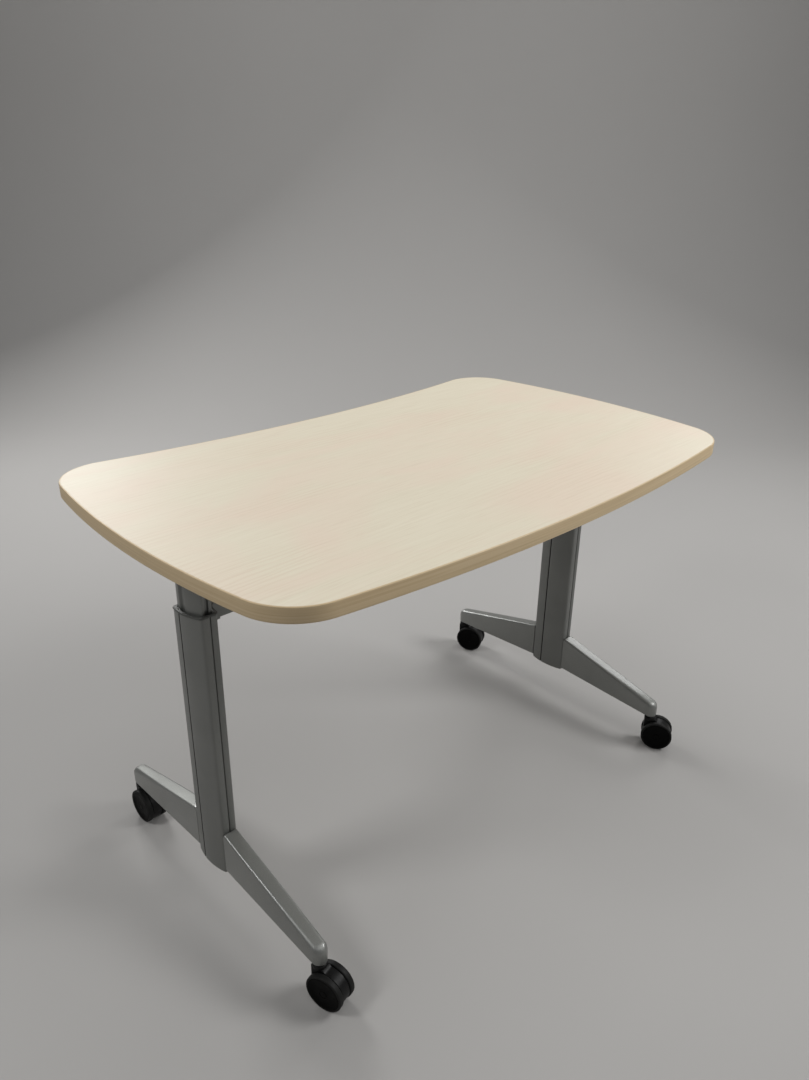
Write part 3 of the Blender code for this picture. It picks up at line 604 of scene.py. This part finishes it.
def make_inner_column(side, x):
    fluted, bore = column_section(INNER_OUT, FLUTES), column_section(INNER_BORE, FLUTES, 0.0)
    loops = [leg_loop(x, fluted, INNER_LOW), leg_loop(x, fluted, INNER_HIGH),
             leg_loop(x, bore, INNER_HIGH), leg_loop(x, bore, INNER_LOW)]
    name = "inner_column_" + side
    piece(name + "_extrusion", skin(loops, ring=True), COLUMN_PAINT, "top", [name])


# Feet

# Ends of an arm, as distances from the column's centre: root, end of its rounding, flat pad and nose.
ARM_ROOT = COL_HALF_DEPTH + GAP
ARM_BEND = ARM_ROOT + ARM_ROOT_R
PAD_MARGIN = 0.0004
ARM_PAD = CASTER_REACH - NECK_R - PAD_MARGIN
ARM_NOSE = ARM_REACH - ARM_HALF_WIDTH

# Sampling of an arm, and the largest shares of its half width that the corner radii may take.
ARM_RUN_STEPS = 12
ARM_CORNER_STEPS = 8
NOSE_ANGLES = (8, 16, 24, 32, 40, 48, 56, 64, 72, 79, 85)
TOP_R_SHARE = 0.96
UNDER_R_SHARE = 0.5


def arm_section(x, y, half_width, low, high, top_r):
    upper = min(top_r, half_width * TOP_R_SHARE)
    lower = min(ARM_UNDER_R, half_width * UNDER_R_SHARE)
    under, over = half_width - lower, half_width - upper
    corners = ((under, low + lower, lower, -90.0), (over, high - upper, upper, 0.0),
               (-over, high - upper, upper, 90.0), (-under, low + lower, lower, 180.0))
    points = []
    for across, up, radius, start in corners:
        for i in range(ARM_CORNER_STEPS + 1):
            s, c = sin_cos(start + 90.0 * i / ARM_CORNER_STEPS)
            points.append(Vector((x + across + radius * c, y, up + radius * s)))
    return points


def arm_stations():
    # A reach, a share of the width and a drop of the top: rounded root, straight run, round nose.
    stations = []
    for degrees in QUARTER[:-1]:
        s, c = sin_cos(degrees)
        stations.append((ARM_ROOT + ARM_ROOT_R * (1.0 - c), 1.0, ARM_ROOT_R * (1.0 - s)))
    for i in range(ARM_RUN_STEPS + 1):
        stations.append((ARM_BEND + (ARM_PAD - ARM_BEND) * i / ARM_RUN_STEPS, 1.0, 0.0))
    stations.append((ARM_NOSE, 1.0, 0.0))
    for degrees in NOSE_ANGLES:
        s, c = sin_cos(degrees)
        stations.append((ARM_NOSE + ARM_HALF_WIDTH * s, c, ARM_NOSE_DROP * (1.0 - c)))
    return stations


def make_foot(side, x, end, way):
    root = ARM_LOW + ARM_UNDER_RISE + ARM_ROOT_DEPTH
    loops = []
    for reach, share, drop in arm_stations():
        along = (reach - ARM_ROOT) / (ARM_NOSE - ARM_ROOT)
        high = root + (ARM_LOW + ARM_TIP_DEPTH - root) * along - drop
        low = ARM_LOW + ARM_UNDER_RISE * max(1.0 - (reach - ARM_ROOT) / (ARM_PAD - ARM_ROOT), 0.0)
        top_r = ARM_TOP_R + (ARM_NOSE_R - ARM_TOP_R) * min(along, 1.0) ** 2
        loops.append(arm_section(x, LEG_Y + way * reach, ARM_HALF_WIDTH * share, low, high, top_r))
    name = "foot_" + end + "_" + side
    piece(name + "_casting", skin(loops), FOOT_PAINT_LIGHTENED, "base", [name], sharp=40.0)


# Mounting plates and screws

PLATE_BREAK = 0.0006
PLATE_CORNER_STEPS = 10
SCREW_STEPS = 24

# Domed screw head with a socket: shares of its radius, and of its height from the lower end up.
SCREW_HEAD = ((0.0, 1.0), (1.0, 1.0), (1.0, 0.65), (0.93, 0.38), (0.78, 0.15), (0.58, 0.0), (0.40, 0.0),
              (0.34, 0.55), (0.0, 0.62))


def rounded_rect(width, depth, radius, count):
    # A rectangle about the origin, with count steps round each corner.
    across, along = width / 2.0 - radius, depth / 2.0 - radius
    points = []
    for sx, sy, start in ((1, -1, -90.0), (1, 1, 0.0), (-1, 1, 90.0), (-1, -1, 180.0)):
        for i in range(count + 1):
            s, c = sin_cos(start + 90.0 * i / count)
            points.append(Vector((sx * across + radius * c, sy * along + radius * s)))
    return points


def make_plate(side):
    name = "mount_plate_" + side
    low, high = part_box(name)
    middle = (low + high) / 2.0
    width, depth, less = high.x - low.x, high.y - low.y, 2.0 * PLATE_BREAK
    full = rounded_rect(width, depth, PLATE_CORNER_R, PLATE_CORNER_STEPS)
    small = rounded_rect(width - less, depth - less, PLATE_CORNER_R - PLATE_BREAK, PLATE_CORNER_STEPS)
    levels = [(small, low.z), (full, low.z + PLATE_BREAK), (full, high.z - PLATE_BREAK), (small, high.z)]
    loops = [[Vector((middle.x + p.x, middle.y + p.y, z)) for p in shape] for shape, z in levels]
    piece(name + "_pressed", skin(loops), DARK, "top", [name])


def make_screw(side, number):
    name = "plate_screw_%s_%d" % (side, number)
    low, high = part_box(name)
    middle = (low + high) / 2.0
    radius, height = (high.x - low.x) / 2.0, high.z - low.z
    profile = [(radius * out, low.z + height * up) for out, up in SCREW_HEAD]
    head = turned(profile, SCREW_STEPS, Matrix.Translation((middle.x, middle.y, 0.0)))
    piece(name + "_head", head, ZINC, "top", [name])


for side, x in LEG_X.items():
    make_outer_column(side, x)
    make_collar(side, x)
    make_inner_column(side, x)
    make_foot(side, x, "front", -1.0)
    make_foot(side, x, "rear", 1.0)
    make_plate(side)
    for number in range(1, 5):
        make_screw(side, number)


# Stretcher

BEAM_BORE_R = 0.003
BEAM_CORNER_STEPS = 6


def make_stretcher():
    low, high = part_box("stretcher")
    middle = (low + high) / 2.0
    depth, height, less = high.y - low.y, high.z - low.z, 2.0 * BEAM_WALL
    outer = rounded_rect(depth, height, BEAM_CORNER_R, BEAM_CORNER_STEPS)
    bore = rounded_rect(depth - less, height - less, BEAM_BORE_R, BEAM_CORNER_STEPS)
    ends = [(outer, low.x), (outer, high.x), (bore, high.x), (bore, low.x)]
    loops = [[Vector((x, middle.y + p.x, middle.z + p.y)) for p in shape] for shape, x in ends]
    tube = skin(loops, ring=True)
    piece("stretcher_tube", tube, BEAM_PAINT, "base", ["stretcher"], sharp=40.0)


make_stretcher()


# Casters

# Hood: half length of its upper end and its tuck into the boss, the brow in front, and the broken edge.
HOOD_NECK = BOSS_R * 0.95
HOOD_TUCK = 0.0024
BROW_OUT = 0.003
BROW_DROP = 0.0008
HOOD_BREAK = 0.0009

# Angles at the bottom and at the front end of the hood's round, its sampling, and a limit for sharp corners.
HOOD_BOTTOM = math.radians(270.0)
HOOD_FRONT = math.radians(452.0)
HOOD_BACK_STEPS = 14
HOOD_FRONT_STEPS = 36
MITRE_LEAST = 0.5

# Boss on the hood: insets from its radius and drops from its top, down the round shoulder; lower edge.
BOSS_SHOULDER = ((0.0022, 0.0), (0.0012, 0.0003), (0.0004, 0.0012), (0.0, 0.0024))
BOSS_BREAK = 0.0006
BOSS_STEPS = 48

# Disc of a wheel: radius inside the tyre, broken edge, and blind bore for the axle.
TYRE_THICK = 0.0042
DISC_R = WHEEL_R - TYRE_THICK
DISC_BREAK = 0.0006
BORE_R = 0.0036
BORE_DEPTH = 0.0078
DISC_STEPS = 64

# Outer face of a disc, as (radius, depth) points from its centre out.
RAISED = 0.0002
HUB_CAP = [(0.0, 0.0004), (0.0064, 0.0004)]
HUB_GROOVE = [(0.0070, 0.0012), (0.0076, 0.0012)]
DISH = [(0.0082, 0.0006), (DISC_R * 0.80, 0.0009)]
RAISED_RIM = [(DISC_R * 0.84, RAISED), (DISC_R - DISC_BREAK, RAISED), (DISC_R, RAISED + DISC_BREAK)]

# Tyre: clearance round the disc, and the bevel at its inner edge, outwards and across.
TYRE_GAP = 0.0002
TYRE_BEVEL = (0.0006, 0.0004)
TYRE_STEPS = 72


def hood_outline():
    # Side view of a hood, counter-clockwise: round back, flat floor, round front and the end in the boss.
    back = math.acos((-HOOD_NECK - TRAIL) / HOOD_R)
    flat = math.acos((AXLE_Z - HOOD_FLOOR) / HOOD_R)
    back_end, front_start = HOOD_BOTTOM - flat, HOOD_BOTTOM + flat
    angles = [back + (back_end - back) * i / HOOD_BACK_STEPS for i in range(HOOD_BACK_STEPS + 1)]
    angles += [front_start + (HOOD_FRONT - front_start) * i / HOOD_FRONT_STEPS
               for i in range(HOOD_FRONT_STEPS + 1)]
    points = [Vector((TRAIL + HOOD_R * math.cos(a), AXLE_Z + HOOD_R * math.sin(a))) for a in angles]
    points.append(Vector((HOOD_NECK + BROW_OUT, BOSS_FOOT - BROW_DROP)))
    points += [Vector((x, BOSS_FOOT + HOOD_TUCK)) for x in (HOOD_NECK, -HOOD_NECK)]
    return points


def shrink(points, distance):
    # Moves a closed counter-clockwise outline inwards, with a limit to the reach of sharp corners.
    moved = []
    for i, p in enumerate(points):
        a, b = (p - points[i - 1]).normalized(), (points[(i + 1) % len(points)] - p).normalized()
        normal = (Vector((-a.y, a.x)) + Vector((-b.y, b.x))).normalized()
        moved.append(p + normal * (distance / max(normal.dot(Vector((-a.y, a.x))), MITRE_LEAST)))
    return moved


def make_hood(tag, place):
    full = hood_outline()
    small = shrink(full, HOOD_BREAK)
    edge = HOOD_HALF - HOOD_BREAK
    sides = [(small, -HOOD_HALF), (full, -edge), (full, edge), (small, HOOD_HALF)]
    shell = skin([[place @ Vector((p.x, w, p.y)) for p in shape] for shape, w in sides])
    name = "caster_hood_" + tag
    piece(name + "_shell", shell, BLACK, "caster_" + tag, [name], sharp=34.0)


def make_boss(tag, place):
    bore = PIN_R + GAP
    profile = [(bore, HOOD_TOP)] + [(BOSS_R - inset, HOOD_TOP - drop) for inset, drop in BOSS_SHOULDER]
    profile += [(BOSS_R, BOSS_FOOT + BOSS_BREAK), (BOSS_R - BOSS_BREAK, BOSS_FOOT), (bore, BOSS_FOOT)]
    boss = turned(profile, BOSS_STEPS, place)
    piece("caster_boss_" + tag, boss, BLACK, "caster_" + tag, [], sharp=34.0)


def make_disc(label, hub):
    face = [(r, WHEEL_WIDTH - depth) for r, depth in HUB_CAP + HUB_GROOVE + DISH + RAISED_RIM]
    back = [(DISC_R, DISC_BREAK), (DISC_R - DISC_BREAK, 0.0)]
    bore = [(BORE_R, 0.0), (BORE_R, BORE_DEPTH), (0.0, BORE_DEPTH)]
    disc = turned(face + back + bore, DISC_STEPS, hub)
    name = "caster_wheel_" + label
    piece(name + "_disc", disc, SHADED_DISC, "wheel_" + label, [name], sharp=30.0)


def make_tyre(label, hub):
    inside = DISC_R + TYRE_GAP
    profile = [(inside, WHEEL_WIDTH - TYRE_BEVEL[1]), (inside + TYRE_BEVEL[0], WHEEL_WIDTH)]
    for degrees in QUARTER:
        s, c = sin_cos(degrees)
        profile.append((AXLE_Z - WHEEL_EDGE_R * (1.0 - s), WHEEL_WIDTH - WHEEL_EDGE_R * (1.0 - c)))
    profile += [(r, WHEEL_WIDTH - z) for r, z in reversed(profile)]
    tyre = turned(profile, TYRE_STEPS, hub)
    piece("caster_tyre_" + label, tyre, LIT_TREAD, "wheel_" + label, [], sharp=30.0)


def make_caster(tag):
    x = LEG_X["left" if tag[0] == "l" else "right"]
    y = LEG_Y + (-CASTER_REACH if tag[1] == "f" else CASTER_REACH)
    place = Matrix.Translation((x, y, 0.0)) @ Matrix.Rotation(math.radians(CASTER_TURN[tag]), 4, "Z")
    make_hood(tag, place)
    make_boss(tag, place)
    for letter, way in (("a", -1.0), ("b", 1.0)):
        hub = place @ Matrix.Translation((TRAIL, way * WHEEL_IN, AXLE_Z))
        hub = hub @ Matrix.Rotation(-way * math.pi / 2.0, 4, "X")
        make_disc(tag + "_" + letter, hub)
        make_tyre(tag + "_" + letter, hub)


for tag in CASTER_TURN:
    make_caster(tag)


# CAD nodes that stay as they are take the same procedural finishes

KEPT = {"core_board": CORE, "backer_sheet": BACKER}
for side in LEG_X:
    KEPT["beam_saddle_" + side] = BEAM_PAINT
    KEPT["end_plug_" + side] = NYLON
    KEPT["glide_shoe_" + side] = NYLON
for tag in CASTER_TURN:
    KEPT["caster_neck_" + tag] = DARK
    KEPT["caster_axle_" + tag] = ZINC
for name, mat in KEPT.items():
    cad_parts[name].data.materials.clear()
    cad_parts[name].data.materials.append(mat)


# The photograph's camera: place, directions, and focal length in pixels on a frame of the given height

CAMERA_PLACE = (-1.1008167, -1.10544836, 1.30762857)
CAMERA_RIGHT = Vector((0.7258029, -0.6877857, 0.01268787)).normalized()
CAMERA_AHEAD = Vector((0.62952405, 0.65665909, -0.41532916)).normalized()
FOCAL_PIXELS = 855.08
FRAME_PIXELS = 1080.0
SENSOR_HEIGHT = 36.0

# Level directions away from the camera and across its view.
VIEW = Vector((CAMERA_AHEAD.x, CAMERA_AHEAD.y, 0.0)).normalized()
ACROSS = Vector((VIEW.y, -VIEW.x, 0.0))


# Stage: a pale floor that sweeps up behind the desk

FLOOR_COLOR = (0.45, 0.44, 0.427)

# Distances along the view: front edge, start of the bend and its radius; height of the wall and half width.
SWEEP_START = -6.0
SWEEP_BEND = 2.4
SWEEP_R = 1.6
SWEEP_HEIGHT = 7.0
SWEEP_HALF_WIDTH = 8.0


def pale_floor():
    mat, t = new_material("pale_floor")
    bsdf = t.nodes["Principled BSDF"]
    color = ramp(t, noise(t, 1.5, 3.0), [(0.3, shade(FLOOR_COLOR, 0.985)), (0.7, FLOOR_COLOR)])
    t.links.new(color, bsdf.inputs["Base Color"])
    bsdf.inputs["Roughness"].default_value = 0.75
    bsdf.inputs["Specular IOR Level"].default_value = 0.2
    return mat


def make_sweep():
    profile = [(SWEEP_START, 0.0), (SWEEP_BEND, 0.0)]
    for degrees in range(6, 91, 6):
        s, c = sin_cos(degrees)
        profile.append((SWEEP_BEND + SWEEP_R * s, SWEEP_R - SWEEP_R * c))
    profile.append((SWEEP_BEND + SWEEP_R, SWEEP_HEIGHT))
    bm = bmesh.new()
    rows = []
    for ahead, z in profile:
        middle = VIEW * ahead + Vector((0.0, 0.0, z))
        rows.append([bm.verts.new(middle + ACROSS * w) for w in (-SWEEP_HALF_WIDTH, SWEEP_HALF_WIDTH)])
    for a, b in zip(rows[:-1], rows[1:]):
        bm.faces.new((a[0], a[1], b[1], b[0]))
    mesh = bpy.data.meshes.new("studio_sweep")
    bm.to_mesh(mesh)
    bm.free()
    mesh.shade_smooth()
    mesh.materials.append(pale_floor())
    return bpy.data.objects.new("studio_sweep", mesh)


sweep_object = make_sweep()
bpy.context.scene.collection.objects.link(sweep_object)


# Light: soft boxes behind and beside the desk, broad ones overhead, a wash on the backdrop, a little sky

SKY_COLOR = (0.90, 0.91, 0.93, 1.0)
SKY_STRENGTH = 0.12


def soft_box(name, place, aim, width, height, power):
    light = bpy.data.lights.new(name, "AREA")
    light.shape = "RECTANGLE"
    light.size = width
    light.size_y = height
    light.energy = power
    ob = bpy.data.objects.new(name, light)
    ob.location = place
    ob.rotation_euler = (Vector(aim) - Vector(place)).to_track_quat("-Z", "Y").to_euler()
    ob.visible_camera = False
    bpy.context.scene.collection.objects.link(ob)


WASH_PLACE = VIEW * 2.0 + Vector((0.0, 0.0, 3.4))
WASH_AIM = VIEW * (SWEEP_BEND + SWEEP_R) + Vector((0.0, 0.0, 1.7))
soft_box("box_left", (0.30, 3.10, 2.05), (0.0, 0.0, 0.5), 1.0, 1.2, 40.0)
soft_box("box_right", (3.00, 0.55, 2.10), (0.0, 0.0, 0.5), 1.0, 1.2, 16.0)
soft_box("side_left", (-2.5, 0.8, 2.7), (0.0, 0.0, 0.6), 0.8, 0.8, 27.0)
soft_box("side_right", (1.9, -1.9, 2.4), (0.0, 0.0, 0.6), 1.2, 1.2, 50.0)
soft_box("overhead_front", (-1.0, -2.2, 3.0), (0.0, 0.0, 0.7), 2.4, 2.4, 12.0)
soft_box("overhead_rear", (0.0, 0.2, 3.4), (0.0, 0.0, 0.7), 2.0, 2.0, 16.0)
soft_box("wall_wash", WASH_PLACE, WASH_AIM, 5.0, 1.2, 18.0)

world = bpy.data.worlds.new("studio")
world.use_nodes = True
world.node_tree.nodes["Background"].inputs["Color"].default_value = SKY_COLOR
world.node_tree.nodes["Background"].inputs["Strength"].default_value = SKY_STRENGTH
bpy.context.scene.world = world
bpy.context.scene.view_settings.view_transform = "Standard"


# Camera

camera = bpy.data.cameras.new("camera")
camera.sensor_fit = "VERTICAL"
camera.sensor_height = SENSOR_HEIGHT
camera.lens = FOCAL_PIXELS * SENSOR_HEIGHT / FRAME_PIXELS
camera.clip_start = 0.05
view = bpy.data.objects.new("camera", camera)
up = CAMERA_RIGHT.cross(CAMERA_AHEAD)
turn = Matrix((CAMERA_RIGHT, up, -CAMERA_AHEAD)).transposed()
view.matrix_world = Matrix.Translation(CAMERA_PLACE) @ turn.to_4x4()
bpy.context.scene.collection.objects.link(view)
bpy.context.scene.camera = view
